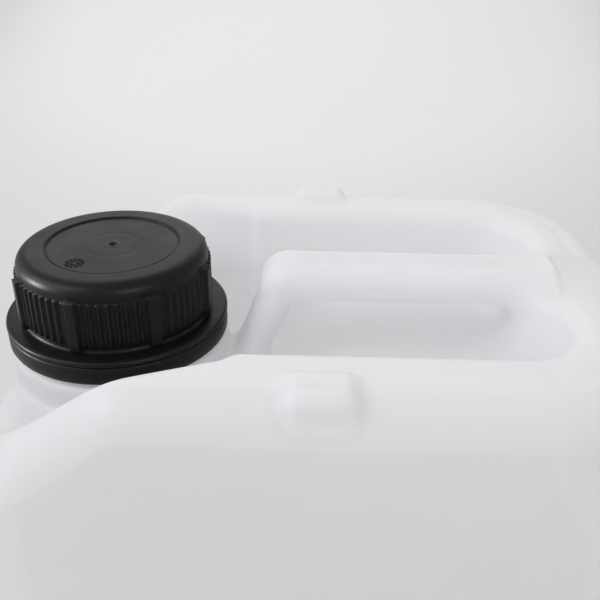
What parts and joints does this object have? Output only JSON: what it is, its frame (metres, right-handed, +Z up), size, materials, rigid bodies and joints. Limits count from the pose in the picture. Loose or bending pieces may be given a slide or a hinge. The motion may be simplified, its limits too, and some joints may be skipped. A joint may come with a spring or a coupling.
{
  "type": "plastic jerrycan",
  "caption": "Stackable natural plastic jerrycan with an integral carrying handle in a trough, raised stacking lugs and a black tamper-evident screw cap on its neck.",
  "frame": {"origin": "middle of the foot's underside, at the centre of the can's outline", "axes": "+Z up, X along the handle with the neck at -X, Y across the can"},
  "size_m": [0.188, 0.137, 0.245],
  "materials": {
    "can_plastic": "natural, slightly translucent polyethylene, semi-gloss as blown",
    "cap_plastic": "satin black moulded plastic",
    "ring_plastic": "satin black moulded plastic",
    "gasket_foam": "off-white foamed sealing disc"
  },
  "bodies": {
    "can": {"can_body": "can_plastic", "tamper_ring": "ring_plastic"},
    "cap_carrier": {"cap_gasket": "gasket_foam"},
    "cap": {"cap": "cap_plastic"}
  },
  "joints": [
    {"name": "cap_lift", "type": "slide", "parent": "can", "child": "cap_carrier", "axis": [0, 0, 1], "range_m": [0, 0.012]},
    {"name": "cap_turn", "type": "hinge", "parent": "cap_carrier", "child": "cap", "pos_m": [-0.0592, 0, 0.23], "axis": [0, 0, 1], "range_deg": [0, 720]}
  ],
  "couplings": [
    {"joint": "cap_lift", "follows": "cap_turn", "m_per_rad": 0.00095493}
  ]
}
